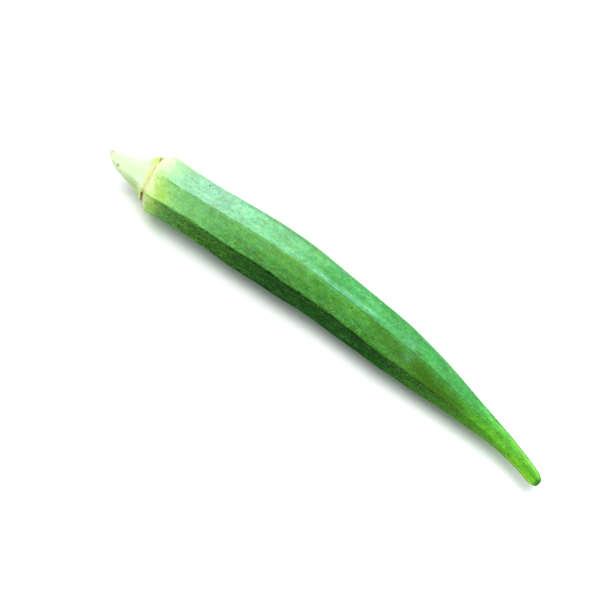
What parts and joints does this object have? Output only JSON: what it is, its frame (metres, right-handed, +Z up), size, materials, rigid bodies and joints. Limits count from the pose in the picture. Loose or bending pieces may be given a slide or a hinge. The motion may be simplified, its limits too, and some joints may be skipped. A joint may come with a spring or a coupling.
{
  "type": "okra pod",
  "caption": "Fresh okra pod lying on its side: ridged and tapering to a blunt beak, with its flared cap and cut stalk.",
  "frame": {"origin": "under the middle of the pod's bounding box, on the surface it lies on", "axes": "+X from the cut stalk to the tip of the beak, +Z up, +Y to the side that the pod bows towards"},
  "size_m": [0.1454, 0.0216, 0.0171],
  "materials": {
    "okra_pod": "satin"
  },
  "bodies": {
    "root": {"okra_pod": "okra_pod"}
  },
  "joints": []
}
